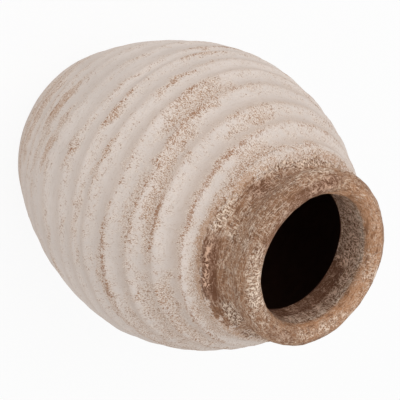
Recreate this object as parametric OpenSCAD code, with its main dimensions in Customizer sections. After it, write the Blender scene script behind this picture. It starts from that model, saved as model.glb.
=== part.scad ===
// Ribbed terracotta vase, hand built from a base slab, courses of clay and a rolled lip.
// It stands on its foot with +Z up the vase; the origin is the centre of the foot, in millimetres.
// Every piece is a ring about the Z axis, and neighbours meet on one luted seam.

/* [Body] */
// Widest diameter, measured over the ridges
body_d = 240; // [220:1:260]
// Height of the widest place above the foot
belly_z = 132; // [125:1:145]
// Diameter of the foot
foot_d = 175; // [160:1:185]
// Height of the seam under the collar
shoulder_z = 250; // [246:1:253]
// Diameter at the seam under the collar
shoulder_d = 148; // [142:1:152]
// Wall thickness of the body, measured under a ridge
wall = 10; // [8:0.5:12]

/* [Courses] */
// Tall courses of clay between the base slab and the belly
lower_courses = 5; // [4:1:6]
// Low courses of clay between the belly and the collar
upper_courses = 7; // [6:1:8]
// Depth of the channel that a finger pressed into each course
channel_depth = 2; // [0.5:0.1:3]
// Height of the luted tongue on the top edge of a course
tongue_h = 2.5; // [1:0.1:3.5]

/* [Foot] */
// Thickness of the base slab
slab_h = 10; // [8:0.5:14]
// Radius of the rounded lower edge of the foot
foot_round = 3; // [1:0.5:5]
// Size of the coil pressed into the corner inside
fillet_w = 8; // [4:0.5:9]

/* [Neck and mouth] */
// Height of the whole vase
height = 287; // [284:1:296]
// Inner diameter of the mouth
mouth_d = 94; // [80:1:96]
// Outer diameter of the neck at its waist
neck_d = 120; // [112:1:124]
// Outer diameter of the rolled lip
lip_d = 128; // [125:1:136]
// Height of the roll from its widest place to its crest
lip_rise = 10; // [8.5:0.5:12]
// Height of the neck's seam above the collar's seam
collar_h = 7.5; // [5:0.5:9]
// Outer diameter at the seam between collar and neck
collar_d = 132; // [128:1:136]
// Swell of the collar's bead outside the line between its seams
collar_swell = 1.6; // [0.5:0.1:2.5]
// Height of the mouth's inner edge above the collar's seam
throat_rise = 4; // [2:0.5:6]

/* [Hidden] */
// All courses of clay, tall and low
courses = lower_courses + upper_courses;

// Shape of the body's curve above and below the belly: 1 is a cone, 2 a parabola
upper_fullness_share = 1.9;
lower_fullness_share = 1.7;
// Roundness of a ridge's crest, as a share of the channel's depth
crest_share = 0.2;
// Place of the lip's crest between its outer edge and the mouth, as a share
crest_place_share = 0.54;
// Depth of the lip's underside where it meets the neck, as a share of lip_rise
tuck_share = 0.74;
// Height of the neck's waist between its seams, as a share
waist_share = 0.45;
// Drop of the lip's inner seam below its outer seam, as a share of lip_rise
scarf_share = 0.17;
// Reach of the inner corner coil up the first course's lower half, as a share
fillet_share = 0.7;

body_r = body_d / 2;
foot_r = foot_d / 2;
shoulder_r = shoulder_d / 2;
mouth_r = mouth_d / 2;
neck_r = neck_d / 2;
collar_r = collar_d / 2;
lip_r = lip_d / 2;

// Points on a course's channel, on a curved neck line and on a quarter of the lip's roll
channel_steps = 10;
curve_steps = 8;
roll_steps = 10;
arc_samples = 40;
around = 96;

clay_white = [0.84, 0.80, 0.76];
clay_brown = [0.56, 0.44, 0.35];
clay_raw = [0.70, 0.47, 0.35];

function course_name(i) = str("course_", i < 10 ? "0" : "", i);

// Radius of the body over its ridges at height z, and its slope there
function belly_part(z) = z > belly_z ? (z - belly_z) / (shoulder_z - belly_z) : (belly_z - z) / belly_z;
function fullness(z) = z > belly_z ? upper_fullness_share : lower_fullness_share;
function body_radius(z) =
  body_r - (body_r - (z > belly_z ? shoulder_r : foot_r)) * pow(belly_part(z), fullness(z));
function body_slope(z) =
  let (steep = fullness(z) * pow(belly_part(z), fullness(z) - 1))
  z > belly_z
    ? -(body_r - shoulder_r) / (shoulder_z - belly_z) * steep
    : (body_r - foot_r) / belly_z * steep;
function body_normal(z) = [1, -body_slope(z)] / norm([1, body_slope(z)]);
function body_point(z) = [body_radius(z), z];

// Height against distance along the body's curve between two heights, so that the courses there
// come out equally tall
function sample_z(low, high, k) = low + (high - low) * k / arc_samples;
function sample_step(low, high, k) =
  norm(body_point(sample_z(low, high, k + 1)) - body_point(sample_z(low, high, k)));
function arc_table(low, high) = [
  for (k = 0, run = 0; k <= arc_samples; run = run + sample_step(low, high, k), k = k + 1)
    [run, sample_z(low, high, k)]
];
lower_table = arc_table(slab_h, belly_z);
upper_table = arc_table(belly_z, shoulder_z);
function along_table(table, share) = lookup(table[arc_samples][0] * share, table);

// Height at t courses above the base slab, where t may be a fraction
function course_z(t) =
  t < lower_courses
    ? along_table(lower_table, t / lower_courses)
    : along_table(upper_table, (t - lower_courses) / upper_courses);

// Depth of the finger channel, nothing on both ridges and full in the middle
function channel(t) =
  let (bare = sqrt(1 + crest_share * crest_share) - crest_share)
  channel_depth * (sqrt(pow(sin(180 * t), 2) + crest_share * crest_share) - crest_share) / bare;
function outer_point(t) =
  let (z = course_z(t))
  body_point(z) - body_normal(z) * channel(t - floor(t));

// The inner wall follows the body's curve, and starts level with the top of the slab
function inner_point(t) =
  t == 0
    ? [body_radius(slab_h) - wall / body_normal(slab_h)[0], slab_h]
    : body_point(course_z(t)) - body_normal(course_z(t)) * wall;

// Seam on top of course i, from the outside in, with its tongue in the middle of the wall
function along(normal) = [-normal[1], normal[0]];
function seam(i) =
  let (normal = body_normal(course_z(i)), outside = outer_point(i), inside = inner_point(i))
  i == 0
    ? [outside, inside]
    : [outside, (outside + inside) / 2 + along(normal) * tongue_h, inside];

// Seams of the neck: on the collar, and under the lip
throat_z = shoulder_z + throat_rise;
collar_seam_z = shoulder_z + collar_h;
lip_z = height - lip_rise;
lip_mid_r = lip_r - (lip_r - mouth_r) * crest_place_share;
tuck_z = lip_z - lip_rise * tuck_share;
tuck_r = lip_mid_r + (lip_r - lip_mid_r) * sqrt(1 - tuck_share * tuck_share);
collar_seam = tongued([collar_r, collar_seam_z], [mouth_r, throat_z]);
lip_seam = tongued([tuck_r, tuck_z], [mouth_r, tuck_z - lip_rise * scarf_share]);

function tongued(outside, inside) =
  let (side = (inside - outside) / norm(inside - outside))
  [outside, (outside + inside) / 2 + [side[1], -side[0]] * tongue_h, inside];

function reversed(list) = [for (k = [len(list) - 1 : -1 : 0]) list[k]];

// Curve from a to b that swells outwards by h in its middle, without its two ends
function swelling(a, b, h) =
  let (way = (b - a) / norm(b - a), out = [way[1], -way[0]])
  [for (k = [1 : curve_steps - 1]) a + (b - a) * k / curve_steps + out * h * sin(180 * k / curve_steps)];

// Smooth curve through the waist of the neck, without its two ends
function waisted(a, b, waist) =
  [for (k = [1 : curve_steps - 1])
    let (t = k / curve_steps)
    [
      t < waist_share
        ? waist + (a[0] - waist) * pow(1 - t / waist_share, 2)
        : waist + (b[0] - waist) * pow((t - waist_share) / (1 - waist_share), 2),
      a[1] + (b[1] - a[1]) * t
    ]
  ];

module ring(outline) {
  rotate_extrude($fn = around)
    polygon(outline);
}

// Floor of the vase, with the flat face that it stands on
module base_slab() {
  edge = [foot_r - foot_round, foot_round];
  color(clay_raw)
    ring(concat(
      [[0, 0]],
      [for (a = [-90 : 15 : -15]) edge + foot_round * [cos(a), sin(a)]],
      [body_point(foot_round * 2)],
      seam(0),
      [[0, slab_h]]
    ));
}

// Thin coil pressed into the corner between the floor and the first course
module base_fillet_coil() {
  corner = inner_point(0);
  top = corner + (inner_point(1 / 2) - corner) * fillet_share;
  toe = corner - [fillet_w, 0];
  color(clay_raw)
    ring(concat(
      [corner, top],
      [for (k = [1 : curve_steps - 1])
        let (t = k / curve_steps)
        top * pow(1 - t, 2) + corner * 2 * t * (1 - t) + toe * t * t
      ],
      [toe]
    ));
}

// One course of clay between seam i - 1 and seam i
module course(i) {
  color(clay_white)
    ring(concat(
      [for (k = [1 : channel_steps - 1]) outer_point(i - 1 + k / channel_steps)],
      seam(i),
      [inner_point(i - 1 / 2)],
      reversed(seam(i - 1))
    ));
}

// Bead of clay that closes the shoulder and carries the neck
module collar_coil() {
  shoulder_seam = seam(courses);
  color(clay_brown)
    ring(concat(
      swelling(shoulder_seam[0], collar_seam[0], collar_swell),
      collar_seam,
      reversed(shoulder_seam)
    ));
}

// Waisted neck around the straight throat
module neck_ring() {
  color(clay_brown)
    ring(concat(
      waisted(collar_seam[0], lip_seam[0], neck_r),
      lip_seam,
      reversed(collar_seam)
    ));
}

// Thick lip, rolled over outwards
module lip_coil() {
  fold_angle = asin(tuck_share);
  color(clay_brown)
    ring(concat(
      [for (k = [1 : roll_steps])
        let (a = -fold_angle + (90 + fold_angle) * k / roll_steps)
        [lip_mid_r + (lip_r - lip_mid_r) * cos(a), lip_z + lip_rise * sin(a)]
      ],
      [for (k = [1 : roll_steps])
        let (a = 90 + 90 * k / roll_steps)
        [lip_mid_r + (lip_mid_r - mouth_r) * cos(a), lip_z + lip_rise * sin(a)]
      ],
      reversed(lip_seam)
    ));
}

base_slab();
base_fillet_coil();
for (i = [1 : courses]) {
  course(i);
}
collar_coil();
neck_ring();
lip_coil();
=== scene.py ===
import math
import random
from collections import namedtuple

import bpy
import numpy as np
from mathutils import Matrix, Vector


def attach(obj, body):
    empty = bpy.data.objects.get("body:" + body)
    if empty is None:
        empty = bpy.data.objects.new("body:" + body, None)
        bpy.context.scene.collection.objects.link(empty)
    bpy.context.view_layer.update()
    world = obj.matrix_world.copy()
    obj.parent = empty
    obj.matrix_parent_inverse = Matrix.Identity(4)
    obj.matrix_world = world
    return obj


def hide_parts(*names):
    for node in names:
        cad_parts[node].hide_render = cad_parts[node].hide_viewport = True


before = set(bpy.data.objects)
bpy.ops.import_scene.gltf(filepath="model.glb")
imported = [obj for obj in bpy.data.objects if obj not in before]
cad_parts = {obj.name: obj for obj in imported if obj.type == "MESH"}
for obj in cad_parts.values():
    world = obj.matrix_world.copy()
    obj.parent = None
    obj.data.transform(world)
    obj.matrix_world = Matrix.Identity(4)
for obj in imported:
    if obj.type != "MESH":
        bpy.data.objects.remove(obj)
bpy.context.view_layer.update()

MM = 0.001

# Body, in metres, as the frame has it
BODY_R = 120 * MM
FOOT_R = 87.5 * MM
SHOULDER_R = 74 * MM
BELLY_Z = 132 * MM
SHOULDER_Z = 250 * MM
WALL = 10 * MM
UPPER_FULLNESS = 1.9
LOWER_FULLNESS = 1.7

# Courses of clay: tall ones up to the belly, low ones above it, each with the finger's channel
LOWER_COURSES = 5
UPPER_COURSES = 7
COURSES = LOWER_COURSES + UPPER_COURSES
CHANNEL_DEPTH = 2 * MM
CREST_SHARE = 0.2
# How strongly the channels show, in depth and in painted shade, by course: less towards the foot
RELIEF_SHARES = ((0, 0.4), (5, 0.45), (7, 0.65), (8, 0.8), (10, 1.1), (12, 1.1))
TONGUE_H = 2.5 * MM

# Foot
SLAB_H = 10 * MM
FOOT_ROUND = 3 * MM
FILLET_W = 8 * MM
FILLET_SHARE = 0.7

# Collar, neck and lip
HEIGHT = 287 * MM
MOUTH_R = 47 * MM
NECK_R = 60 * MM
LIP_R = 64 * MM
LIP_RISE = 10 * MM
COLLAR_H = 7.5 * MM
COLLAR_R = 66 * MM
COLLAR_SWELL = 1.6 * MM
THROAT_RISE = 4 * MM
CREST_PLACE_SHARE = 0.54
TUCK_SHARE = 0.74
WAIST_SHARE = 0.45
SCARF_SHARE = 0.17

LIP_Z = HEIGHT - LIP_RISE
LIP_MID_R = LIP_R - (LIP_R - MOUTH_R) * CREST_PLACE_SHARE
TUCK_Z = LIP_Z - LIP_RISE * TUCK_SHARE
TUCK_R = LIP_MID_R + (LIP_R - LIP_MID_R) * math.sqrt(1 - TUCK_SHARE ** 2)
COLLAR_SEAM = ((COLLAR_R, SHOULDER_Z + COLLAR_H), (MOUTH_R, SHOULDER_Z + THROAT_RISE))
LIP_SEAM = ((TUCK_R, TUCK_Z), (MOUTH_R, TUCK_Z - LIP_RISE * SCARF_SHARE))

# How finely the pieces are modelled: points round the vase, steps and points on their outlines,
# directions in degrees on the foot's rounded edge, and the distance under which points are joined
BODY_AROUND = 800
NECK_AROUND = 640
SKIN_STEP = 0.8 * MM
INNER_STEPS = 3
FLOOR_STEPS = 4
FILLET_STEPS = 8
RIM_DEGREES = range(-90, 16, 7)
COLLAR_POINTS = 18
NECK_POINTS = 22
ROLL_POINTS = 54
BORE_POINTS = 14
THROAT_POINTS = 21
JOIN_DISTANCE = 0.001 * MM

# Noise of the hand work: scale to a metre, detail, and roughness where it isn't 0.5. A flatness
# says how many times wider than high its forms are
STRAY_NOISE = (14, 1.5)
ROUND_NOISE = (11, 1.0)
PRESS_NOISE = (21, 1.0)
RUB_NOISE = (26, 1.0)
LUMP_NOISE = (55, 2.0)
GRAIN_NOISE = (260, 3.0, 0.6)
STRAY_FLATNESS = 2.6
PRESS_FLATNESS = 2.0

# Crests are rubbed down where the noise is high: its range there, how fast that fades beside a
# crest, and its depth as a share of the uneven press
RUB_RANGE = (0.45, 0.7)
RUB_POWER = 3.0
RUB_SHARE = 0.3

# The unevenness of the hand work starts with the foot and is full at this height
FIRM_HEIGHT = 15 * MM

# Courses over which the ridges come loose above the foot, and are held again under the collar
LOOSE_COURSES = 1.5
HELD_COURSES = 1.4
HELD_SHARE = 0.75

# The body leans a little to the right between its foot and its shoulder: how far, the heights
# over which the lean grows, and those over which it goes back
LEAN = 0.7 * MM
LEAN_GROWS = (10 * MM, 100 * MM)
LEAN_ENDS = (150 * MM, 245 * MM)

# How far each ridge strays up from its even place: degrees round from the front, and millimetres
RIDGE_STRAY = {
    11: ((-60, -0.5), (-20, 1.5), (15, 3.5), (80, 3.5), (150, 0), (220, 2)),
    10: ((-50, -1), (0, 0), (60, 2), (120, 3), (190, -2)),
    9: ((-60, -3), (-30, -1.5), (0, 4), (35, -1), (110, -3), (200, 2)),
    8: ((-60, -4), (0, 1.5), (50, -3.5), (130, 2), (210, -1)),
    7: ((-60, -2), (-35, 1.5), (20, -1.5), (60, -4.5), (150, 3), (240, 1)),
    6: ((-50, 0), (-15, 0.5), (25, 3), (80, -2), (170, -4), (250, 2)),
    5: ((-55, 9), (-30, 7), (10, 0), (30, 4), (90, 2), (180, -3), (260, 3)),
    4: ((-35, 9), (-10, 5), (12, -3), (30, 4), (100, 5), (190, -2), (270, 3)),
    3: ((-30, 3), (20, 3), (110, -3), (200, 4)),
    2: ((-5, 5), (70, 2), (150, -4), (230, 0)),
    1: ((-5, 3), (60, -1), (140, 2), (240, -2)),
}

# Where the whitewash is broken: the ridge, start and end in degrees round from the front, lowest
# and highest millimetre above the ridge, and how much line and how many dots of clay show there
Mark = namedtuple("Mark", "ridge start end low high line dots")
FRONT_MARKS = (
    Mark(12, -78, -62, -1, 5, 0.7, 1.1),
    Mark(12, -66, -36, -1, 4, 0.4, 0.9),
    Mark(12, -96, -64, 3, 10, 0.3, 0.7),
    Mark(12, -40, -12, -5, 7, 0.6, 1.0),
    Mark(12, 72, 92, -1, 8, 0.2, 0.7),
    Mark(11, -52, 22, -0.5, 4, 0.8, 0.8),
    Mark(11, -34, -10, -1, 6, 0.8, 1.0),
    Mark(11, 10, 19, -1, 7, 1.0, 1.2),
    Mark(11, 20, 85, -0.5, 3, 0.7, 0.5),
    Mark(11, 66, 100, -1, 4, 0.6, 0.7),
    Mark(11, -104, -60, -1, 3, 0.6, 0.7),
    Mark(11, -97, -68, 1, 10, 0.0, 0.25),
    Mark(11, -44, -18, 3, 20, 0.0, 1.0),
    Mark(11, -30, 60, 12, 20, 0.0, 0.9),
    Mark(11, 46, 92, 3, 19, 0.0, 1.0),
    Mark(11, 28, 62, 6, 13, 0.0, 0.9),
    Mark(10, -60, -34, 0, 13, 0.3, 1.0),
    Mark(10, -46, -34, -1, 3, 0.6, 1.1),
    Mark(10, -36, 10, -0.5, 3, 0.4, 0.4),
    Mark(10, 6, 34, -3, 1, 1.0, 1.2),
    Mark(10, 36, 96, 0, 13, 0.6, 1.0),
    Mark(10, 46, 56, -1, 7, 0.6, 1.3),
    Mark(10, 64, 76, -15, -2, 0.2, 0.8),
    Mark(9, -38, 8, -0.5, 7, 0.5, 1.0),
    Mark(9, -26, 16, 4, 12, 0.0, 1.0),
    Mark(9, -12, 34, 8, 16, 0.0, 1.1),
    Mark(9, 8, 36, 0, 9, 0.3, 0.7),
    Mark(9, -46, -6, -2, 4, 0.8, 1.3),
    Mark(9, -6, 28, -2, 2, 0.7, 0.8),
    Mark(9, -64, -34, -4, 5, 0.4, 0.6),
    Mark(9, 28, 62, -1, 4, 0.3, 0.4),
    Mark(9, 42, 100, 2, 17, 0.0, 0.8),
    Mark(9, 80, 100, -4, 6, 0.5, 0.8),
    Mark(8, -48, -18, 0, 17, 0.0, 1.0),
    Mark(8, -60, -46, 0, 8, 0.2, 0.6),
    Mark(8, -37, -27, -2, 4, 0.9, 1.2),
    Mark(8, -24, 28, -0.5, 3, 0.4, 0.5),
    Mark(8, 2, 28, 10, 18, 0.0, 0.7),
    Mark(8, 26, 60, -3, 1.5, 0.8, 0.9),
    Mark(8, 46, 54, -4, 3, 1.0, 1.3),
    Mark(8, 56, 98, -8, 15, 0.2, 0.8),
    Mark(8, 42, 84, -8, -1, 0.0, 0.9),
    Mark(7, -43, -30, -1.5, 5, 0.8, 1.3),
    Mark(7, -60, -43, -5, 2, 0.3, 0.6),
    Mark(7, -30, 0, -0.5, 3, 0.3, 0.4),
    Mark(7, -3, 14, -5, 2, 0.7, 1.2),
    Mark(7, 14, 48, -1.5, 3, 0.2, 0.3),
    Mark(6, -64, -46, -3, 5, 0.6, 1.1),
    Mark(6, -19, -8, -2, 8, 0.6, 1.3),
    Mark(6, 12, 44, 0, 10, 0.1, 0.8),
    Mark(6, -22, 14, 1, 9, 0.0, 0.55),
    Mark(5, -2, 18, -4, 6, 0.1, 1.0),
    Mark(5, 4, 13, -2, 5, 0.9, 1.2),
    Mark(5, 25, 33, 2, 7, 0.5, 1.0),
    Mark(5, -60, -48, -4, 6, 0.5, 1.1),
    Mark(5, -38, -16, -1, 5, 0.5, 0.8),
    Mark(5, -14, 2, 0, 8, 0.2, 0.7),
    Mark(4, 4, 19, -17, 1, 0.0, 1.3),
    Mark(4, -10, 8, -14, -2, 0.0, 0.9),
    Mark(4, -46, -28, 0, 7, 0.3, 0.8),
    Mark(4, 20, 66, 0, 8, 0.2, 0.7),
    Mark(4, 50, 62, -2, 8, 0.5, 1.1),
    Mark(3, -26, 40, 2, 8, 0.1, 0.4),
    Mark(3, -20, 8, -17, 3, 0.0, 1.3),
    Mark(3, -12, 5, -16, 3, 0.8, 1.5),
    Mark(3, 8, 30, -16, -4, 0.0, 0.8),
    Mark(2, -30, 30, -3, 4, 0.3, 0.7),
    Mark(1, -24, 26, -3, 12, 0.0, 1.1),
    Mark(1, -14, 4, -3, 6, 0.6, 1.3),
    Mark(1, -40, 50, -20, -6, 0.0, 1.0),
)

# Marks on the side that faces away: ranges in degrees and millimetres, and of their dots
BACK_START = 80
BACK_END = 280
BACK_SEED = 5
BACK_OFFSET = (0, 20)
BACK_WIDTH = (10, 36)
BACK_GAP = (2, 24)
BACK_LOW = (-2, 0)
BACK_HIGHS = (2, 3, 4, 8, 13)
BACK_DOTS = (0.4, 1.0)
BACK_LINE_SHARE = 0.9

# A rubbed line starts at its mark's lowest millimetre. Its greatest width, and its soft edge
LINE_WIDTH = 5
LINE_SOFT = 1.6

# Softness of the ends in degrees, and of the edges in millimetres: the most, and the most as a
# share of the mark's or patch's own size
MARK_SOFT_END = (10.0, 0.5)
MARK_SOFT_EDGE = (4.0, 0.45)
PATCH_SOFT_END = (10.0, 0.4)
PATCH_SOFT_EDGE = (3.0, 0.4)

# Waves in the edges of marks: reach, millimetres up the wall to a radian, and waves round the
# vase. They go aside by degrees, and up by millimetres
ASIDE_WAVES = ((3.5, 5, 6), (2.5, 2.3, 11))
RISE_WAVES = ((1.6, 9, 17), (1.2, 4, 41))

# Faint dots on every ridge, and over the courses by the foot
RIDGE_DOTS = 0.42
RIDGE_DOTS_LOW = -0.5
RIDGE_DOTS_REACH = 9
RIDGE_DOTS_SOFT = 3
FOOT_DOTS = 0.4
FOOT_DOTS_REACH = 60

# Painted shade in each channel, where the whitewash is also thinner, under its upper ridge and over
# its lower one, and between which parts of the channel's height that comes or goes
SHADE_UNDER_RIDGE = 0.85
SHADE_OVER_RIDGE = 0.6
UNDER_RIDGE_PART = (0.2, 1.05)
OVER_RIDGE_PART = (0, 0.14)

# Radii at which the unrolled patterns of body and neck have their true size
BODY_ROLL = 105 * MM
NECK_ROLL = 56 * MM

# Edge of the whitewash on the collar: degrees round from the front, and millimetres above the seam
WASH_EDGE = (
    (-100, 11), (-75, 12), (-60, 12), (-30, 10), (0, 3), (14, -1), (27, -0.5), (35, 2),
    (44, 0), (56, 3), (90, 10), (150, 5), (210, 7),
)

# Patches of the brown wash: start and end in degrees, lowest and highest millimetre above the seam
# along the skin, and an amount
Patch = namedtuple("Patch", "start end low high amount")

# Where cream flecks lie, and how densely
FLECKS = (
    Patch(-90, -28, 4, 14, 1.0),
    Patch(-80, -48, 11, 17, 1.6),
    Patch(-2, 15, 12, 24, 0.9),
    Patch(56, 78, 11, 21, 1.6),
    Patch(-2, 14, 41, 49, 0.9),
    Patch(48, 68, 49, 56, 1.1),
    Patch(-70, -28, 4, 13, 1.6),
    Patch(-8, 16, 2, 12, 0.9),
    Patch(8, 46, 3, 7, 0.6),
    Patch(-180, 180, 14, 28, 0.5),
    Patch(-20, 22, 15, 22, 0.6),
    Patch(-70, 20, 28, 42, 0.7),
    Patch(20, 100, 28, 40, 0.35),
    Patch(100, 290, 28, 42, 0.5),
    Patch(-180, 180, 42, 54, 0.45),
    Patch(8, 62, 41, 56, 0.95),
    Patch(30, 56, 43, 54, 1.5),
    Patch(-58, -30, 37, 46, 0.6),
    Patch(-30, 12, 37, 51, 0.75),
    Patch(104, 150, 48, 58, 1.1),
    Patch(62, 76, 40, 52, 0.6),
    Patch(-180, -150, 44, 60, 0.6),
    Patch(86, 150, 4, 14, 0.9),
    Patch(150, 215, 3, 16, 1.1),
    Patch(215, 262, 5, 13, 0.7),
    Patch(100, 188, 62, 75, 1.2),
    Patch(100, 188, 75, 92, 0.4),
    Patch(188, 250, 62, 92, 1.5),
    Patch(-110, 100, 64, 92, 0.9),
)

# Where the brown wash is warm and thinner, above nothing, or dark and thickly laid, below it. The last
# two patches are painted shade that darkens the bore and throat inside the mouth
TONES_AND_SHADE = (
    Patch(-180, 180, 56, 67, 0.3),
    Patch(110, 300, 46, 62, 0.5),
    Patch(-70, -25, 44, 58, -0.7),
    Patch(-25, 12, 48, 58, -0.5),
    Patch(14, 56, -1, 12, -0.9),
    Patch(-32, -13, 8, 21, -0.45),
    Patch(15, 30, 12, 27, -0.25),
    Patch(-76, -54, 39, 52, -0.45),
    Patch(74, 104, 43, 53, -0.5),
    Patch(34, 70, 14, 27, 0.3),
    Patch(-64, -16, 12, 24, -0.25),
    # Painted shade: the bore and throat inside the mouth darker at the back, and all round
    Patch(100, 190, 75, 90, -0.6),
    Patch(-180, 180, 63, 95, -0.6),
)

# Studio: a wide floor a hair below the foot, even light, and one lamp, in metres and watts
WHITE = (1, 1, 1, 1)
FLOOR_WHITE = (0.9, 0.9, 0.9, 1)
FLOOR_GAP = 0.1 * MM
FLOOR_HALF = 4.0
FLOOR_GLOW = 0.9
SKY_LIGHT = 0.72
SKY_GLOW = 0.25
LAMP_SIZE = 1.2
LAMP_POWER = 6.5
LAMP_PLACE = (-0.6, -0.5, 1.5)
LAMP_AIM = (0, 0, 0.15)

# Camera, fitted to the photograph: all in millimetres, and its roll in degrees
CAMERA_LENS = 90
CAMERA_SENSOR = 36
CAMERA_PLACE = (1.12, -507.45, 739.61)
CAMERA_AIM = (1.12, 0, 144.97)
CAMERA_ROLL = 118.42

# A point of an outline: its place, the way out of the clay there, whether it is on the painted
# skin, how far it may sway, how deep the finger pressed, its height in courses, and if it is a
# corner. Its skin is 1 where it is painted, 0 inside the wall, and UNDER_FOOT where the vase stands.
# A face takes the paint if its mean skin is between the limits, and an edge whose mean of corner is
# over the last value is sharp
UNDER_FOOT = 2
PAINTED_OVER = 0.75
PAINTED_UNDER = 1.25
SHARP_OVER = 0.99
Station = namedtuple("Station", "r z out_r out_z skin loose press course corner")


def unit(vector):
    return vector / np.linalg.norm(vector)


def body_radius(z):
    """Radius over the ridges at height z."""
    if z > BELLY_Z:
        part = (z - BELLY_Z) / (SHOULDER_Z - BELLY_Z)
        return BODY_R - (BODY_R - SHOULDER_R) * part ** UPPER_FULLNESS
    part = (BELLY_Z - z) / BELLY_Z
    return BODY_R - (BODY_R - FOOT_R) * part ** LOWER_FULLNESS


def body_normal(z):
    """Way out of the body at height z, as a radius and a height."""
    reach = 0.05 * MM
    slope = (body_radius(z + reach) - body_radius(z - reach)) / (2 * reach)
    return unit(np.array([1.0, -slope]))


def arc_table(low, high, steps=200):
    """Distance along the body's curve against height, between two heights."""
    heights = np.linspace(low, high, steps + 1)
    radii = np.array([body_radius(z) for z in heights])
    runs = np.concatenate([[0], np.cumsum(np.hypot(np.diff(radii), np.diff(heights)))])
    return runs, heights


LOWER_RUNS, LOWER_HEIGHTS = arc_table(SLAB_H, BELLY_Z)
UPPER_RUNS, UPPER_HEIGHTS = arc_table(BELLY_Z, SHOULDER_Z)
LOWER_COURSE_H = LOWER_RUNS[-1] / LOWER_COURSES
UPPER_COURSE_H = UPPER_RUNS[-1] / UPPER_COURSES


def course_z(course):
    """Height at so many courses above the slab."""
    if course < LOWER_COURSES:
        return float(np.interp(LOWER_COURSE_H * course, LOWER_RUNS, LOWER_HEIGHTS))
    return float(np.interp(UPPER_COURSE_H * (course - LOWER_COURSES), UPPER_RUNS, UPPER_HEIGHTS))


def curve_tables(steps=600):
    """Distance along the body's curve, and radius, height and way out of the clay there."""
    runs, heights = arc_table(SLAB_H, SHOULDER_Z, steps)
    radii = np.array([body_radius(z) for z in heights])
    ways = np.array([body_normal(z) for z in heights])
    return runs, (radii, heights, ways[:, 0], ways[:, 1])


CURVE_RUNS, CURVE_VALUES = curve_tables()
RIDGE_RUNS = np.interp([course_z(k) for k in range(COURSES + 1)], CURVE_VALUES[1], CURVE_RUNS)


def curve(run):
    """Radius, height and way out of the clay at distances along the body's curve."""
    return [np.interp(run, CURVE_RUNS, values) for values in CURVE_VALUES]


def channel_share(course):
    """Depth of the finger's channel as a share of its greatest depth, nothing on the ridges."""
    wave = math.hypot(math.sin(math.pi * course), CREST_SHARE) - CREST_SHARE
    return wave / (math.hypot(1, CREST_SHARE) - CREST_SHARE)


def relief_share(course):
    """How strongly the channel shows at so many courses, in its depth and in the painted shade of the
    wash.
    """
    courses, shares = zip(*RELIEF_SHARES)
    return np.interp(course, courses, shares)


def outer_point(course):
    z = course_z(course)
    depth = CHANNEL_DEPTH * channel_share(course) * relief_share(course)
    return np.array([body_radius(z), z]) - body_normal(z) * depth


def inner_point(course):
    z = course_z(course)
    if course == 0:
        return np.array([body_radius(z) - WALL / body_normal(z)[0], z])
    return np.array([body_radius(z), z]) - body_normal(z) * WALL


def smooth(low, high, x):
    """0 below low, 1 above high, and a smooth step between them."""
    part = np.clip((x - low) / (high - low), 0, 1)
    return part * part * (3 - 2 * part)


def looseness(course):
    """How far the ridges may stray there: not at the foot, little under the collar."""
    held = HELD_SHARE * smooth(COURSES - HELD_COURSES, COURSES, course)
    return float(smooth(0, LOOSE_COURSES, course) * (1 - held))


def skin_station(course, corner=False):
    """Station on the painted outside of the body."""
    r, z = outer_point(course)
    out = body_normal(course_z(course))
    return Station(r, z, *out, 1, looseness(course), channel_share(course), course, corner)


def clay_station(point, course, corner=True):
    """Station on a seam or on the inside of the body."""
    out = body_normal(course_z(course))
    return Station(*point, *out, 0, looseness(course), 0, course, corner)


def seam_stations(seam):
    """Stations on the seam above so many courses, inwards, without its outer end."""
    inside = inner_point(seam)
    if seam == 0:
        return [clay_station(inside, seam)]
    z = course_z(seam)
    normal = body_normal(z)
    tongue = (outer_point(seam) + inside) / 2 + np.array([-normal[1], normal[0]]) * TONGUE_H
    return [clay_station(tongue, seam), clay_station(inside, seam)]


def course_outline(number):
    """Closed outline of one course of clay, up its outside and down its inside."""
    below = number - 1
    height = LOWER_COURSE_H if number <= LOWER_COURSES else UPPER_COURSE_H
    steps = round(height / SKIN_STEP)
    shares = [k / steps for k in range(steps + 1)]
    outside = [skin_station(below + share, share in (0, 1)) for share in shares]
    inner_shares = [1 - k / INNER_STEPS for k in range(1, INNER_STEPS)]
    inside = [clay_station(inner_point(below + s), below + s, False) for s in inner_shares]
    return outside + seam_stations(number) + inside + seam_stations(below)[::-1]


def slab_outline():
    """Closed outline of the floor, from the middle of its underside to the middle of its top."""
    middle = FOOT_R - FOOT_ROUND
    rim = []
    for degrees in RIM_DEGREES:
        out = np.array([math.cos(math.radians(degrees)), math.sin(math.radians(degrees))])
        place = np.array([middle, FOOT_ROUND]) + FOOT_ROUND * out
        course = (place[1] - SLAB_H) / LOWER_COURSE_H
        rim.append(Station(*place, *out, 1, 0, 0, course, degrees == RIM_DEGREES[0]))
    side = []
    for z in np.arange(2 * FOOT_ROUND, SLAB_H, SKIN_STEP):
        course = (z - SLAB_H) / LOWER_COURSE_H
        side.append(Station(body_radius(z), z, *body_normal(z), 1, 0, 0, course, False))
    inside = inner_point(0)[0]
    under, over = [], []
    for k in range(FLOOR_STEPS):
        under.append(Station(middle * k / FLOOR_STEPS, 0, 0, -1, UNDER_FOOT, 0, 0, -1, False))
        over.append(Station(inside * k / FLOOR_STEPS, SLAB_H, 0, 1, 0, 0, 0, 0, False))
    return under + rim + side + [skin_station(0, True)] + seam_stations(0) + over[::-1]


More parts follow.
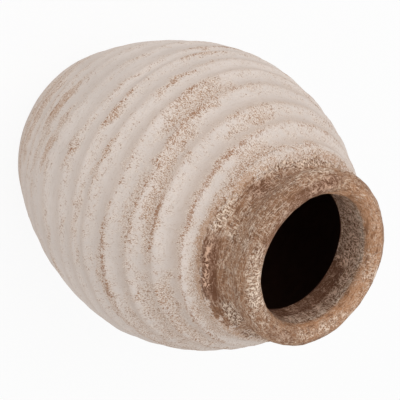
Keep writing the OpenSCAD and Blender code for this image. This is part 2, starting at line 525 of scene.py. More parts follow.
def fillet_outline():
    """Closed outline of the narrow coil in the corner between floor and wall."""
    corner = inner_point(0)
    top = corner + (inner_point(0.5) - corner) * FILLET_SHARE
    toe = corner - np.array([FILLET_W, 0])
    hollow = []
    for k in range(1, FILLET_STEPS):
        t = k / FILLET_STEPS
        hollow.append(top * (1 - t) ** 2 + corner * 2 * t * (1 - t) + toe * t * t)
    smoothed = [Station(*point, 1, 0, 0, 0, 0, 0, False) for point in hollow]
    corners = [Station(*point, 1, 0, 0, 0, 0, 0, True) for point in (corner, top, toe)]
    return [corners[0], corners[1], *smoothed, corners[2]]


def swelling(a, b, height, count):
    """Curve from a to b that swells outwards by height in its middle."""
    a, b = np.array(a), np.array(b)
    way = unit(b - a)
    out = np.array([way[1], -way[0]])
    parts = np.linspace(0, 1, count)
    return [a + (b - a) * t + out * height * math.sin(math.pi * t) for t in parts]


def waisted(a, b, waist, count):
    """Curve from a to b through the waist of the neck."""
    points = []
    for t in np.linspace(0, 1, count):
        if t < WAIST_SHARE:
            r = waist + (a[0] - waist) * (1 - t / WAIST_SHARE) ** 2
        else:
            r = waist + (b[0] - waist) * ((t - WAIST_SHARE) / (1 - WAIST_SHARE)) ** 2
        points.append(np.array([r, a[1] + (b[1] - a[1]) * t]))
    return points


def rolled(start, end, count):
    """Part of the lip's roll, between two angles in degrees round its middle."""
    points = []
    for degrees in np.linspace(start, end, count):
        c, s = math.cos(math.radians(degrees)), math.sin(math.radians(degrees))
        reach = LIP_R - LIP_MID_R if c > 0 else LIP_MID_R - MOUTH_R
        points.append(np.array([LIP_MID_R + reach * c, LIP_Z + LIP_RISE * s]))
    return points


def straight(a, b, count):
    return [np.array(a) + (np.array(b) - np.array(a)) * t for t in np.linspace(0, 1, count)]


def upper_skin():
    """Stations of the skin over collar, neck, lip and throat, one list for each stretch."""
    fold = -math.degrees(math.asin(TUCK_SHARE))
    bore_top = (MOUTH_R, LIP_Z)
    stretches = {
        "collar": swelling(outer_point(COURSES), COLLAR_SEAM[0], COLLAR_SWELL, COLLAR_POINTS),
        "neck": waisted(COLLAR_SEAM[0], LIP_SEAM[0], NECK_R, NECK_POINTS),
        "lip": rolled(fold, 180, ROLL_POINTS)[:-1] + straight(bore_top, LIP_SEAM[1], BORE_POINTS),
        "throat": straight(LIP_SEAM[1], COLLAR_SEAM[1], THROAT_POINTS),
    }
    line = [point for stretch in stretches.values() for point in stretch[:-1]]
    line = np.array(line + [stretches["throat"][-1]])
    tangents = np.gradient(line, axis=0)
    runs = np.concatenate([[0], np.cumsum(np.linalg.norm(np.diff(line, axis=0), axis=1))])
    made = {}
    start = 0
    for name, stretch in stretches.items():
        stations = []
        for k in range(len(stretch)):
            way = unit(tangents[start + k])
            out = (way[1], -way[0]) if start + k else body_normal(SHOULDER_Z)
            corner = k in (0, len(stretch) - 1)
            course = COURSES + runs[start + k] / UPPER_COURSE_H
            loose = looseness(COURSES) * (1 - float(smooth(0, COLLAR_H, runs[start + k])))
            stations.append(Station(*line[start + k], *out, 1, loose, 0, course, corner))
        made[name] = stations
        start += len(stretch) - 1
    return made


UPPER = upper_skin()


def tongue_station(seam, course):
    """Station on the tongue in the middle of a seam of the neck."""
    outside, inside = np.array(seam[0]), np.array(seam[1])
    side = unit(inside - outside)
    tongue = (outside + inside) / 2 + np.array([side[1], -side[0]]) * TONGUE_H
    return Station(*tongue, 0, 1, 0, 0, 0, course, True)


def collar_outline():
    throat_edge = UPPER["throat"][-1]._replace(skin=0)
    tongue = tongue_station(COLLAR_SEAM, COURSES + 1)
    return UPPER["collar"] + [tongue, throat_edge] + seam_stations(COURSES)[::-1]


def neck_outline():
    lower = tongue_station(COLLAR_SEAM, COURSES + 1)
    upper = tongue_station(LIP_SEAM, COURSES + 2)
    return UPPER["neck"] + [upper] + UPPER["throat"] + [lower]


def lip_outline():
    return UPPER["lip"] + [tongue_station(LIP_SEAM, COURSES + 2)]


class Value:
    """A socket that varies over a surface. An expression on values adds its Math nodes."""

    def __init__(self, tree, socket):
        self.tree = tree
        self.socket = socket

    def maths(self, operation, *others):
        return self.tree.maths(operation, self, *others)

    def __add__(self, other):
        return self.maths("ADD", other)

    def __mul__(self, other):
        return self.maths("MULTIPLY", other)

    def __sub__(self, other):
        return self.maths("SUBTRACT", other)

    def __rsub__(self, other):
        return self.tree.maths("SUBTRACT", other, self)

    def __pow__(self, other):
        return self.maths("POWER", other)


class Tree:
    """Adds nodes to a node tree, of a material or of a shape."""

    def __init__(self, node_tree):
        self.node_tree = node_tree

    def node(self, kind, settings=None, inputs=None, output=0):
        """A node of that kind. Its settings are made first, then its sockets get values or links."""
        made = self.node_tree.nodes.new(kind)
        for name, setting in (settings or {}).items():
            setattr(made, name, setting)
        for name, given in (inputs or {}).items():
            if isinstance(given, Value):
                self.node_tree.links.new(given.socket, made.inputs[name])
            else:
                made.inputs[name].default_value = given
        return Value(self, made.outputs[output]) if made.outputs else made

    def maths(self, operation, *values):
        return self.node("ShaderNodeMath", {"operation": operation}, dict(enumerate(values)))

    def vector_maths(self, operation, *values):
        return self.node("ShaderNodeVectorMath", {"operation": operation}, dict(enumerate(values)))

    def scaled(self, vector, factor):
        return self.node("ShaderNodeVectorMath", {"operation": "SCALE"}, {0: vector, "Scale": factor})

    def vector(self, x, y, z):
        return self.node("ShaderNodeCombineXYZ", None, {0: x, 1: y, 2: z})

    def step(self, value, low, high):
        """0 below low, 1 above high, smooth between; low may be the higher of the two."""
        settings = {"interpolation_type": "SMOOTHSTEP"}
        return self.node("ShaderNodeMapRange", settings, {0: value, 1: low, 2: high, 3: 0.0, 4: 1.0})

    def noise(self, place, scale, detail=2.0, roughness=0.5, swirl=0.0):
        """Uneven pattern from 0 to 1 and mostly near 0.5, finer where the scale is larger."""
        look = {"Scale": scale, "Detail": detail, "Roughness": roughness, "Distortion": swirl}
        return self.node("ShaderNodeTexNoise", None, {"Vector": place, **look})

    def mix(self, factor, a, b):
        """Colour a, turning to colour b as the factor goes from 0 to 1."""
        settings = {"data_type": "RGBA"}
        return self.node("ShaderNodeMix", settings, {0: factor, 6: a, 7: b}, output=2)


def attribute(tree, name):
    """A number stored on the outline's points, inside a shape's tree."""
    return tree.node("GeometryNodeInputNamedAttribute", {"data_type": "FLOAT"}, {"Name": name})


def ring_tree():
    """Turns a closed outline about the Z axis, with the unevenness of hand work on its skin."""
    group = bpy.data.node_groups.new("turned_ring", "GeometryNodeTree")
    for side in ("INPUT", "OUTPUT"):
        group.interface.new_socket(name="Geometry", in_out=side, socket_type="NodeSocketGeometry")
    sizes = (
        ("Around", "NodeSocketInt", BODY_AROUND),
        ("Sway", "NodeSocketFloat", 0.0),
        ("Wobble", "NodeSocketFloat", 0.0),
        ("Uneven press", "NodeSocketFloat", 0.0),
        ("Lumps", "NodeSocketFloat", 0.0),
        ("Grain", "NodeSocketFloat", 0.0),
        ("Skin finish", "NodeSocketMaterial", None),
        ("Inside finish", "NodeSocketMaterial", None),
        ("Foot finish", "NodeSocketMaterial", None),
    )
    for name, kind, value in sizes:
        socket = group.interface.new_socket(name=name, in_out="INPUT", socket_type=kind)
        if value is not None:
            socket.default_value = value
    tree = Tree(group)
    given = group.nodes.new("NodeGroupInput")
    size = {socket.name: Value(tree, socket) for socket in given.outputs if socket.name}

    round_once = {"Resolution": size["Around"], "Radius": 1.0}
    circle = tree.node("GeometryNodeCurvePrimitiveCircle", None, round_once)
    turn = {"Geometry": circle, "Name": "turn", "Value": tree.node("GeometryNodeSplineParameter")}
    store = {"data_type": "FLOAT", "domain": "POINT"}
    path = tree.node("GeometryNodeStoreNamedAttribute", store, turn)
    outline = tree.node("GeometryNodeMeshToCurve", None, {"Mesh": size["Geometry"]})
    ring = tree.node("GeometryNodeCurveToMesh", None, {"Curve": path, "Profile Curve": outline})
    ring = tree.node("GeometryNodeFlipFaces", None, {"Mesh": ring})

    angle = attribute(tree, "turn") * math.tau
    cosine, sine = angle.maths("COSINE"), angle.maths("SINE")
    r, z = attribute(tree, "r"), attribute(tree, "z")
    out_r, out_z = attribute(tree, "out_r"), attribute(tree, "out_z")
    place = tree.vector(r * cosine, r * sine, z)
    out = tree.vector(out_r * cosine, out_r * sine, out_z)
    along = tree.vector(out_z * cosine * -1, out_z * sine * -1, out_r)

    # Ridges stray up and down, each a little for itself
    flat = tree.vector_maths("MULTIPLY", place, (1, 1, STRAY_FLATNESS))
    stray = (tree.noise(flat, *STRAY_NOISE) - 0.5) * size["Sway"] * attribute(tree, "loose")
    # The wall is a little out of round, the finger pressed unevenly, and crests are rubbed down
    round_off = (tree.noise(place, *ROUND_NOISE) - 0.5) * size["Wobble"]
    press = attribute(tree, "press")
    wide = tree.vector_maths("MULTIPLY", place, (1, 1, PRESS_FLATNESS))
    pressed = (tree.noise(wide, *PRESS_NOISE) - 0.5) * size["Uneven press"] * press
    rub = tree.step(tree.noise(wide, *RUB_NOISE), *RUB_RANGE) * (1 - press) ** RUB_POWER
    rubbed = rub * size["Uneven press"] * -RUB_SHARE
    lumps = (tree.noise(place, *LUMP_NOISE) - 0.5) * size["Lumps"]
    # Grain of the slip under the paint
    grain = (tree.noise(place, *GRAIN_NOISE) - 0.5) * size["Grain"]
    skin = attribute(tree, "skin")
    lift = round_off + (pressed + rubbed + lumps + grain) * skin
    # Nothing moves where the vase stands
    clear = tree.step(z, 0, FIRM_HEIGHT)
    moved = tree.vector_maths("ADD", place, tree.scaled(out, lift * clear))
    moved = tree.vector_maths("ADD", moved, tree.scaled(along, stray * clear))

    ring = tree.node("GeometryNodeSetPosition", None, {"Geometry": ring, "Position": moved})
    joined = {"Geometry": ring, "Distance": JOIN_DISTANCE}
    ring = tree.node("GeometryNodeMergeByDistance", None, joined)
    faces = {"Geometry": ring, "Shade Smooth": True}
    ring = tree.node("GeometryNodeSetShadeSmooth", {"domain": "FACE"}, faces)
    sharp = attribute(tree, "corner").maths("GREATER_THAN", SHARP_OVER)
    edges = {"Geometry": ring, "Selection": sharp, "Shade Smooth": False}
    ring = tree.node("GeometryNodeSetShadeSmooth", {"domain": "EDGE"}, edges)
    ring = tree.node("GeometryNodeRealizeInstances", None, {"Geometry": ring})
    dressed = {"Geometry": ring, "Material": size["Skin finish"]}
    ring = tree.node("GeometryNodeSetMaterial", None, dressed)
    inside = skin.maths("LESS_THAN", PAINTED_OVER)
    foot = skin.maths("GREATER_THAN", PAINTED_UNDER)
    for finish, there in (("Inside finish", inside), ("Foot finish", foot)):
        dressed = {"Geometry": ring, "Selection": there, "Material": size[finish]}
        ring = tree.node("GeometryNodeSetMaterial", None, dressed)
    result = group.nodes.new("NodeGroupOutput")
    group.links.new(ring.socket, result.inputs["Geometry"])
    return group


def outline_mesh(name, stations):
    """The closed outline as a loop of edges, with the stations' values on its points."""
    count = len(stations)
    mesh = bpy.data.meshes.new(name + "_outline")
    points = [(station.r, 0, station.z) for station in stations]
    mesh.from_pydata(points, [(k, (k + 1) % count) for k in range(count)], [])
    for field in Station._fields:
        write_attribute(mesh, field, [float(getattr(station, field)) for station in stations])
    return mesh


def new_object(name, data):
    """An object of the scene with that mesh, lamp or camera."""
    made = bpy.data.objects.new(name, data)
    bpy.context.scene.collection.objects.link(made)
    return made


def ring_piece(name, stations, tree, sizes):
    """Plain mesh object of one ring, turned by the tree with those sizes."""
    shape = new_object(name + "_shape", outline_mesh(name, stations))
    modifier = shape.modifiers.new("turned", "NODES")
    modifier.node_group = tree
    for item in tree.interface.items_tree:
        if item.name in sizes:
            modifier[item.identifier] = sizes[item.name]
    graph = bpy.context.evaluated_depsgraph_get()
    mesh = bpy.data.meshes.new_from_object(shape.evaluated_get(graph), depsgraph=graph)
    mesh.name = name
    shape.modifiers.remove(modifier)
    bpy.data.objects.remove(shape)
    return new_object(name, mesh)


def read_attribute(mesh, name):
    values = np.empty(len(mesh.vertices), dtype=np.float32)
    mesh.attributes[name].data.foreach_get("value", values)
    return values.astype(float)


def write_attribute(mesh, name, values):
    layer = mesh.attributes.new(name, "FLOAT", "POINT")
    layer.data.foreach_set("value", np.asarray(values, dtype=np.float32))


def spread_round(knots, degrees):
    """Value at those degrees between knots of degrees and value, which close round the vase."""
    ring = sorted((start % 360, value) for start, value in knots)
    ring = [(ring[-1][0] - 360, ring[-1][1])] + ring + [(ring[0][0] + 360, ring[0][1])]
    starts, values = np.array(ring).T
    return np.interp(degrees % 360, starts, values)


def ridge_shift(course, degrees):
    """How far the ridges' stray moves the wall up there, in metres."""
    shift = np.zeros_like(course)
    for ridge, knots in RIDGE_STRAY.items():
        near = np.clip(1 - abs(course - ridge), 0, 1)
        shift += near * spread_round(knots, degrees) * MM
    return shift


def stray_and_lean(places, course, degrees):
    """The points moved along the wall with their ridges, and the body leant."""
    x, y, z = places.T
    radius = np.hypot(x, y)
    run = np.interp(course, range(COURSES + 1), RIDGE_RUNS)
    here, there = curve(run), curve(run + ridge_shift(course, degrees))
    depth = (here[0] - radius) * here[2] + (here[1] - z) * here[3]
    change = []
    for axis in (0, 1):
        before = here[axis] - here[axis + 2] * depth
        after = there[axis] - there[axis + 2] * depth
        change.append(after - before)
    wider = 1 + change[0] / np.maximum(radius, MM)
    lean = LEAN * smooth(*LEAN_GROWS, z) * (1 - smooth(*LEAN_ENDS, z))
    return np.stack([x * wider + lean, y * wider, z + change[1]], axis=1)


def sector(degrees, start, end, soft):
    """1 between two directions and 0 outside, with soft ends."""
    middle, half = (start + end) / 2, (end - start) / 2
    away = abs((degrees - middle + 180) % 360 - 180)
    return 1 - smooth(half - soft, half + soft, away)


def belt(height, low, high, soft):
    """1 between two heights and 0 outside, with soft edges."""
    return smooth(low - soft, low + soft, height) * (1 - smooth(high - soft, high + soft, height))


def softness(limits, size):
    """Softness of the ends or edges of a mark or patch that is so wide or high."""
    most, share = limits
    return min(most, size * share)


def back_marks():
    """Marks like those of the front for the side that faces away, the same each time."""
    chance = random.Random(BACK_SEED)
    marks = []
    for ridge in range(1, COURSES):
        start = BACK_START + chance.uniform(*BACK_OFFSET)
        while start < BACK_END:
            end = start + chance.uniform(*BACK_WIDTH)
            high = chance.choice(BACK_HIGHS)
            dots = chance.uniform(*BACK_DOTS)
            low = chance.uniform(*BACK_LOW)
            marks.append(Mark(ridge, start, end, low, high, dots * BACK_LINE_SHARE, dots))
            start = end + chance.uniform(*BACK_GAP)
    return marks


def wandering(waves, run, degrees):
    """How far the edges of marks wander there, as a sum of waves."""
    turns, up = np.radians(degrees), run / MM
    return sum(reach * np.sin(up / rise + turns * count) for reach, rise, count in waves)


def wear(run, degrees):
    """How much brown line and how many dots of clay show on the whitewash there."""
    aside = wandering(ASIDE_WAVES, run, degrees)
    rise = wandering(RISE_WAVES, run, degrees)
    line = np.zeros_like(run)
    dots = FOOT_DOTS * (1 - smooth(0, FOOT_DOTS_REACH, run / MM))
    for ridge in RIDGE_RUNS[1:-1]:
        faint = belt((run - ridge) / MM, RIDGE_DOTS_LOW, RIDGE_DOTS_REACH, RIDGE_DOTS_SOFT)
        dots = np.maximum(dots, RIDGE_DOTS * faint)
    for mark in (*FRONT_MARKS, *back_marks()):
        up = (run - RIDGE_RUNS[mark.ridge]) / MM
        soft = softness(MARK_SOFT_END, mark.end - mark.start)
        across = sector(degrees + aside, mark.start, mark.end, soft)
        fade = softness(MARK_SOFT_EDGE, mark.high - mark.low)
        broken = belt(up + rise, mark.low, mark.high, fade)
        dots = np.maximum(dots, mark.dots * across * broken)
        rubbed = belt(up, mark.low, min(mark.high, mark.low + LINE_WIDTH), LINE_SOFT)
        line = np.maximum(line, mark.line * across * rubbed)
    return line, dots


def patch_cover(patch, height, degrees):
    """1 inside a patch of the brown wash and 0 outside, with soft ends and edges."""
    fade = softness(PATCH_SOFT_EDGE, patch.high - patch.low)
    cover = belt(height, patch.low, patch.high, fade)
    width = patch.end - patch.start
    if width < 360:
        cover *= sector(degrees, patch.start, patch.end, softness(PATCH_SOFT_END, width))
    return cover


def fleck_density(height, degrees):
    return np.max([patch.amount * patch_cover(patch, height, degrees) for patch in FLECKS], axis=0)


def brown_tone_and_shade(height, degrees):
    return np.sum([patch.amount * patch_cover(patch, height, degrees) for patch in TONES_AND_SHADE], axis=0)


def shade_and_thin_wash(course, number):
    """Painted shade where the whitewash is also thinner: most under the ridge above, a little on the
    ridge below.
    """
    channel = np.clip(course - number + 1, 0, 1) if number else np.full_like(course, 0.5)
    under_ridge = SHADE_UNDER_RIDGE * smooth(*UNDER_RIDGE_PART, channel)
    over_ridge = SHADE_OVER_RIDGE * (1 - smooth(*OVER_RIDGE_PART, channel))
    return (under_ridge + over_ridge) * relief_share(course)


def lay_paint(mesh, number):
    """Stores on the mesh what the paint needs to know, and lets its ridges stray."""
    count = len(mesh.vertices)
    places = np.empty(count * 3, dtype=np.float32)
    mesh.vertices.foreach_get("co", places)
    places = places.reshape(count, 3).astype(float)
    course = read_attribute(mesh, "course")
    degrees = np.degrees(np.arctan2(places[:, 0], -places[:, 1]))
    run = np.interp(course, range(COURSES + 1), RIDGE_RUNS)
    run += np.maximum(course - COURSES, 0) * UPPER_COURSE_H + np.minimum(course, 0) * LOWER_COURSE_H
    height = (run - RIDGE_RUNS[-1]) / MM
    line, dots = wear(run, degrees)
    write_attribute(mesh, "line", line)
    write_attribute(mesh, "dots", dots)
    # Painted shade, with a thinner wash, in each channel
    write_attribute(mesh, "shade_and_thin", shade_and_thin_wash(course, number))
    write_attribute(mesh, "wash", spread_round(WASH_EDGE, degrees) - height)
    write_attribute(mesh, "fleck", fleck_density(height, degrees))
    write_attribute(mesh, "tone_and_shade", brown_tone_and_shade(height, degrees))
    turns = np.radians(degrees)
    unrolled = np.stack([np.cos(turns), np.sin(turns), run], axis=1)
    layer = mesh.attributes.new("unrolled", "FLOAT_VECTOR", "POINT")
    layer.data.foreach_set("vector", unrolled.astype(np.float32).ravel())
    mesh.vertices.foreach_set("co", stray_and_lean(places, course, degrees).ravel())
    for name in Station._fields + ("turn",):
        mesh.attributes.remove(mesh.attributes[name])
    mesh.update()


def srgb(red, green, blue):
    """Colour on the screen's scale of 0 to 255, as the linear colour that a shader takes."""
    shares = [value / 255 for value in (red, green, blue)]
    return tuple(s / 12.92 if s <= 0.04045 else ((s + 0.055) / 1.055) ** 2.4 for s in shares) + (1.0,)


# Whitewash, and what shows where it is thinner and darkened as painted shade, broken or rubbed
CHALK_DIM = srgb(219, 207, 199)
CHALK_PALE = srgb(228, 216, 208)
CHALK_RING = srgb(204, 190, 178)
CHALK_SHADE_THIN = srgb(196, 175, 160)
CHALK_BROKEN = srgb(221, 203, 189)
CHALK_GLINT = srgb(244, 231, 218)
CLAY_DOT_PALE = srgb(182, 144, 116)
CLAY_DOT_DARK = srgb(148, 110, 84)
CLAY_STAIN = srgb(186, 146, 116)
CLAY_LINE = srgb(158, 115, 86)

# Brown wash, and the strokes in it; its darkest brown also serves as painted shade in the throat
BROWN_DEEP = srgb(150, 110, 82)
BROWN_PALE = srgb(172, 131, 100)
BROWN_MOTTLE = srgb(124, 86, 61)
BROWN_WARM = srgb(196, 144, 105)
BROWN_THICK_AND_SHADE = srgb(108, 71, 50)
DARK_DAB = srgb(96, 63, 44)
DARK_STROKE = srgb(94, 61, 43)
DARK_RING = srgb(106, 72, 51)
CREAM = srgb(246, 226, 206)
CREAM_ON_THICK_AND_SHADE = srgb(232, 191, 164)

# Bare clay, painted very dark inside the vase as its shade, and under its foot
SHADE_INSIDE_DARK = srgb(58, 36, 27)
SHADE_INSIDE_PALE = srgb(84, 54, 40)
FOOT_PALE = srgb(196, 136, 102)
FOOT_DARK = srgb(168, 108, 78)
FOOT_SAND = srgb(220, 176, 144)

# Every finish is matt
GLOSS = 0.25


def new_material(name):
    """A material with an empty node tree, and that tree."""
    material = bpy.data.materials.new(name)
    material.use_nodes = True
    material.node_tree.nodes.clear()
    return material, Tree(material.node_tree)


def finish_surface(tree, colour, roughness, relief, depth):
    """Puts colour, roughness and bumps of that depth on the surface and ends the material."""
    bump = tree.node("ShaderNodeBump", None, {"Strength": 1.0, "Distance": depth, "Height": relief})
    looks = {"Base Color": colour, "Roughness": roughness, "Normal": bump, "Specular IOR Level": GLOSS}
    surface = tree.node("ShaderNodeBsdfPrincipled", None, looks)
    tree.node("ShaderNodeOutputMaterial", None, {"Surface": surface})


def stored(tree, name):
    """A number stored on the mesh, inside a material."""
    settings = {"attribute_type": "GEOMETRY", "attribute_name": name}
    return tree.node("ShaderNodeAttribute", settings, None, output="Fac")


def unrolled_place(tree, roll, across=1, up=1):
    """Place on the unrolled skin; a small factor draws its patterns out across or up."""
    settings = {"attribute_type": "GEOMETRY", "attribute_name": "unrolled"}
    place = tree.node("ShaderNodeAttribute", settings, None, output="Vector")
    return tree.vector_maths("MULTIPLY", place, (roll * across, roll * across, up))


class Skin:
    """Patterns of the paint on the unrolled skin, whose strokes run up or round the wall."""

    def __init__(self, tree, roll):
        place = unrolled_place(tree, roll)
        tall = unrolled_place(tree, roll, up=0.7)
        self.cloud = tree.noise(place, 24, 3.0)
        self.mottle = tree.noise(place, 140, 4.0, 0.65)
        self.crumbs = tree.noise(place, 380, 2.0, 0.6)
        self.dabs = tree.noise(tall, 1200, 2.0, 0.6)
        self.grain = tree.noise(tall, 1700, 1.0)
        upright = tree.noise(unrolled_place(tree, roll, up=0.32), 1050, 1.0, 0.5, 0.6)
        level = tree.noise(unrolled_place(tree, roll, across=0.32), 1050, 1.0, 0.5, 0.6)
        self.strokes = upright + (level - upright) * tree.step(self.mottle, 0.44, 0.56)
        self.curls = tree.noise(place, 230, 1.5, 0.5, 0.7)
        self.rings = tree.noise(unrolled_place(tree, roll, across=0.25), 520, 2.0, 0.6, 0.4)


def whitewash_colour(tree, skin):
    """Chalky whitewash, thinner with painted shade under each ridge, broken into dots and rubbed off
    the ridges.
    """
    shade_and_thin = stored(tree, "shade_and_thin")
    wash = tree.mix(tree.step(skin.cloud, 0.35, 0.65), CHALK_DIM, CHALK_PALE)
    wash = tree.mix(tree.step(skin.rings, 0.5, 0.68) * 0.35, wash, CHALK_RING)
    # Painted shade under each ridge and over the ridge below, as a darker, thinner wash
    wash = tree.mix(shade_and_thin * (skin.mottle + skin.cloud) * 0.8, wash, CHALK_SHADE_THIN)
    marked = stored(tree, "dots") + tree.step(stored(tree, "wash"), 10, 1)
    density = marked + shade_and_thin * 0.25 + (skin.mottle - 0.5) * 1.3 + (skin.crumbs - 0.5)
    broken = tree.step(density, 0.05, 1.1)
    wash = tree.mix(broken * 0.6, wash, CHALK_BROKEN)
    glints = tree.step(skin.grain, 0.5, 0.64) * (broken * 0.8 + 0.1)
    wash = tree.mix(glints, wash, CHALK_GLINT)
    clay = tree.mix(tree.step(skin.crumbs, 0.45, 0.6), CLAY_DOT_PALE, CLAY_DOT_DARK)
    dots = tree.step(skin.dabs + broken * 0.11, 0.57, 0.68) * (broken * 0.7 + 0.14)
    wash = tree.mix(dots, wash, clay)
    stain = marked + (skin.crumbs - 0.5) * 1.4 + (skin.dabs - 0.5) * 2.0
    wash = tree.mix(tree.step(stain, 0.95, 1.7) * 0.6, wash, CLAY_STAIN)
    strokes = (skin.mottle - 0.5) * 1.4 + (skin.crumbs - 0.5) * 1.5 + (skin.dabs - 0.5) * 3.0
    rubbed = stored(tree, "line") * 1.1 + strokes
    return tree.mix(tree.step(rubbed, 0.5, 1.25) * 0.8, wash, CLAY_LINE)


def brown_colour(tree, skin):
    """Brown wash, warm or dark in patches and as painted shade in the throat, with cream dots,
    streaks, short strokes and curls.
    """
    tone_and_shade = stored(tree, "tone_and_shade")
    thick_and_shade = tree.step(tone_and_shade, 0.0, -1.0)
    by_edge = tree.step(stored(tree, "wash"), -15, -1) * 0.45
    patches = (skin.cloud - 0.5) * 1.6 + (skin.mottle - 0.5) * 1.8 + (skin.crumbs - 0.5) * 0.8
    dense = tree.step(stored(tree, "fleck") + by_edge + patches, 0.0, 1.4)
    brown = tree.mix(tree.step(skin.cloud, 0.35, 0.65), BROWN_DEEP, BROWN_PALE)
    brown = tree.mix(tree.step(skin.mottle, 0.48, 0.66) * 0.5, brown, BROWN_MOTTLE)
    brown = tree.mix(tree.step(tone_and_shade, 0.0, 1.0), brown, BROWN_WARM)
    # Dark brown where the wash is laid thickly, and painted shade in the bore and throat
    brown = tree.mix(thick_and_shade, brown, BROWN_THICK_AND_SHADE)
    dark_dabs = tree.step(skin.dabs, 0.5, 0.4) * (dense * 0.3 + 0.2)
    brown = tree.mix(dark_dabs, brown, DARK_DAB)
    dark_strokes = tree.step(skin.strokes, 0.48, 0.38) * (dense * 0.4 + 0.25)
    brown = tree.mix(dark_strokes, brown, DARK_STROKE)
    brown = tree.mix(tree.step(skin.rings, 0.45, 0.36) * 0.5, brown, DARK_RING)
    # Duller, redder cream there, partly a painted reflection of brownish light in the shaded throat
    cream = tree.mix(thick_and_shade, CREAM, CREAM_ON_THICK_AND_SHADE)
    fine = 1 - thick_and_shade * 0.8
    dots = tree.step(skin.dabs + dense * 0.06, 0.58, 0.65) * (dense * 0.5 + 0.06) * fine
    brown = tree.mix(dots, brown, cream)
    streak = tree.step((skin.rings - 0.52).maths("ABSOLUTE"), 0.03, 0.01) * (skin.mottle + 0.1)
    brown = tree.mix(streak * 0.6, brown, cream)
    stroke = tree.step(skin.strokes + dense * 0.06, 0.57, 0.65) * (dense * 0.8 + 0.1) * fine
    brown = tree.mix(stroke, brown, cream)
    curl = tree.step((skin.curls - 0.5).maths("ABSOLUTE"), 0.06, 0.025) * dense * (thick_and_shade * 0.8 + 0.22)
    return tree.mix(curl, brown, cream)


def painted_skin():
    """Whitewash over brown clay, up to its uneven edge on the collar, and brown wash above it."""
    material, tree = new_material("painted_skin")
    skin = Skin(tree, BODY_ROLL)
    neck_skin = Skin(tree, NECK_ROLL)
    white, brown = whitewash_colour(tree, skin), brown_colour(tree, neck_skin)
    torn = (neck_skin.mottle - 0.5) * 26 + (neck_skin.crumbs - 0.5) * 16 + (neck_skin.dabs - 0.5) * 10
    clean_cut = tree.step(stored(tree, "tone_and_shade"), 0.0, -1.0) * 0.8
    edge = stored(tree, "wash") + torn * (1 - clean_cut)
    colour = tree.mix(tree.step(edge, -1.4, 1.4), brown, white)
    rough = stored(tree, "dots") + stored(tree, "fleck")
    relief = skin.dabs * (tree.step(rough, 0.0, 1.0) * 0.8 + 0.2)
    finish_surface(tree, colour, roughness=0.85, relief=relief, depth=0.3 * MM)
    return material


def painted_shade_clay():
    """Bare clay on the inside and in the seams, painted very dark as the shade inside the vase."""
    material, tree = new_material("painted_shade_inside_clay")
    place = tree.node("ShaderNodeTexCoord", None, None, output="Object")
    cloud = tree.noise(place, 80, 4.0)
    # Painted shade: the inside clay is coloured nearly black
    colour = tree.mix(cloud, SHADE_INSIDE_DARK, SHADE_INSIDE_PALE)
    lumps = tree.noise(place, 500, 3.0)
    finish_surface(tree, colour, roughness=0.9, relief=lumps, depth=0.2 * MM)
    return material


def bare_clay():
    """Bare fired terracotta where the vase stands."""
    material, tree = new_material("bare_foot_clay")
    place = tree.node("ShaderNodeTexCoord", None, None, output="Object")
    colour = tree.mix(tree.noise(place, 45, 4.0), FOOT_PALE, FOOT_DARK)
    sand = tree.noise(place, 900, 3.0, 0.6)
    colour = tree.mix(tree.step(sand, 0.55, 0.7) * 0.5, colour, FOOT_SAND)
    finish_surface(tree, colour, roughness=0.9, relief=sand, depth=0.2 * MM)
    return material


def dress_vase():
    """One ring for each piece of the frame, which it stands for."""
    tree = ring_tree()
    body = {"Around": BODY_AROUND, "Sway": 3 * MM, "Wobble": 2 * MM, "Uneven press": 2.5 * MM,
            "Lumps": 1.2 * MM, "Grain": 0.35 * MM, "Skin finish": painted_skin(),
            "Inside finish": painted_shade_clay(), "Foot finish": bare_clay()}
    neck = dict(body, **{"Around": NECK_AROUND, "Lumps": 2.4 * MM})
    plans = [("turned_slab", "base_slab", slab_outline(), body, "raw_clay", 0),
             ("pressed_corner_coil", "base_fillet_coil", fillet_outline(), body, "raw_clay", 0)]
    for number in range(1, COURSES + 1):
        node = f"course_{number:02d}"
        outline = course_outline(number)
        plans.append(("pressed_" + node, node, outline, body, "whitewashed_clay", number))
    plans.append(("swollen_collar", "collar_coil", collar_outline(), neck, "brown_clay", 0))
    plans.append(("waisted_neck", "neck_ring", neck_outline(), neck, "brown_clay", 0))
    plans.append(("rolled_lip", "lip_coil", lip_outline(), neck, "brown_clay", 0))
    for name, node, stations, sizes, slot, number in plans:
        piece = ring_piece(name, stations, tree, sizes)
        lay_paint(piece.data, number)
        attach(piece, "root")
        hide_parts(node)


def plainly_seen(tree):
    """1 for rays from the camera and those that gloss or glass sends on, 0 for light."""
    seen = 0.0
    for kind in ("Is Camera Ray", "Is Glossy Ray", "Is Transmission Ray"):
        seen = tree.node("ShaderNodeLightPath", None, None, output=kind) + seen
    return seen.maths("MINIMUM", 1.0)


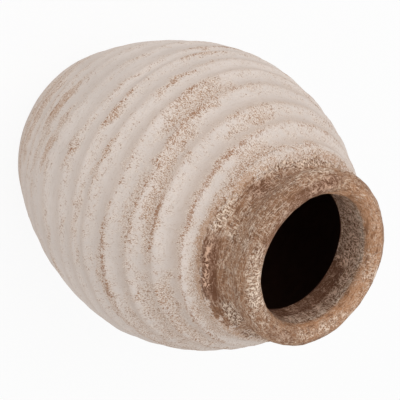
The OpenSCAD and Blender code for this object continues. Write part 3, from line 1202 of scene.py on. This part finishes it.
def make_floor():
    """Plain pale floor that keeps the vase's soft shadow."""
    mesh = bpy.data.meshes.new("floor")
    sides = ((-1, -1), (1, -1), (1, 1), (-1, 1))
    corners = [(x * FLOOR_HALF, y * FLOOR_HALF, -FLOOR_GAP) for x, y in sides]
    mesh.from_pydata(corners, [], [(0, 1, 2, 3)])
    floor = new_object("floor", mesh)
    material, tree = new_material("pale_floor")
    paper = tree.node("ShaderNodeBsdfDiffuse", None, {"Color": FLOOR_WHITE})
    glow = tree.node("ShaderNodeEmission", None, {"Color": WHITE, "Strength": 1.0})
    seen = plainly_seen(tree) * FLOOR_GLOW
    surface = tree.node("ShaderNodeMixShader", None, {0: seen, 1: paper, 2: glow})
    tree.node("ShaderNodeOutputMaterial", None, {"Surface": surface})
    mesh.materials.append(material)


def make_light():
    """Even white surroundings and one large soft lamp from above the mouth."""
    world = bpy.data.worlds.new("studio")
    world.use_nodes = True
    world.node_tree.nodes.clear()
    tree = Tree(world.node_tree)
    strength = plainly_seen(tree) * SKY_GLOW + SKY_LIGHT
    sky = tree.node("ShaderNodeBackground", None, {"Color": WHITE, "Strength": strength})
    tree.node("ShaderNodeOutputWorld", None, {"Surface": sky})
    bpy.context.scene.world = world
    lamp = bpy.data.lights.new("soft_lamp", "AREA")
    lamp.shape = "DISK"
    lamp.size = LAMP_SIZE
    lamp.energy = LAMP_POWER
    light = new_object("soft_lamp", lamp)
    light.location = LAMP_PLACE
    light.rotation_euler = (Vector(LAMP_AIM) - light.location).to_track_quat("-Z", "Y").to_euler()


def make_camera():
    """Camera at the photograph's viewing angle: high over the front, and rolled over."""
    camera_data = bpy.data.cameras.new("camera")
    camera_data.lens = CAMERA_LENS
    camera_data.sensor_width = CAMERA_SENSOR
    camera = new_object("camera", camera_data)
    place = Vector(CAMERA_PLACE) * MM
    aim = Vector(CAMERA_AIM) * MM
    level = (aim - place).to_track_quat("-Z", "Y").to_matrix()
    roll = Matrix.Rotation(math.radians(CAMERA_ROLL), 3, "Z")
    camera.matrix_world = Matrix.Translation(place) @ (level @ roll).to_4x4()
    bpy.context.scene.camera = camera
    bpy.context.scene.view_settings.view_transform = "Standard"


make_camera()
dress_vase()
make_floor()
make_light()
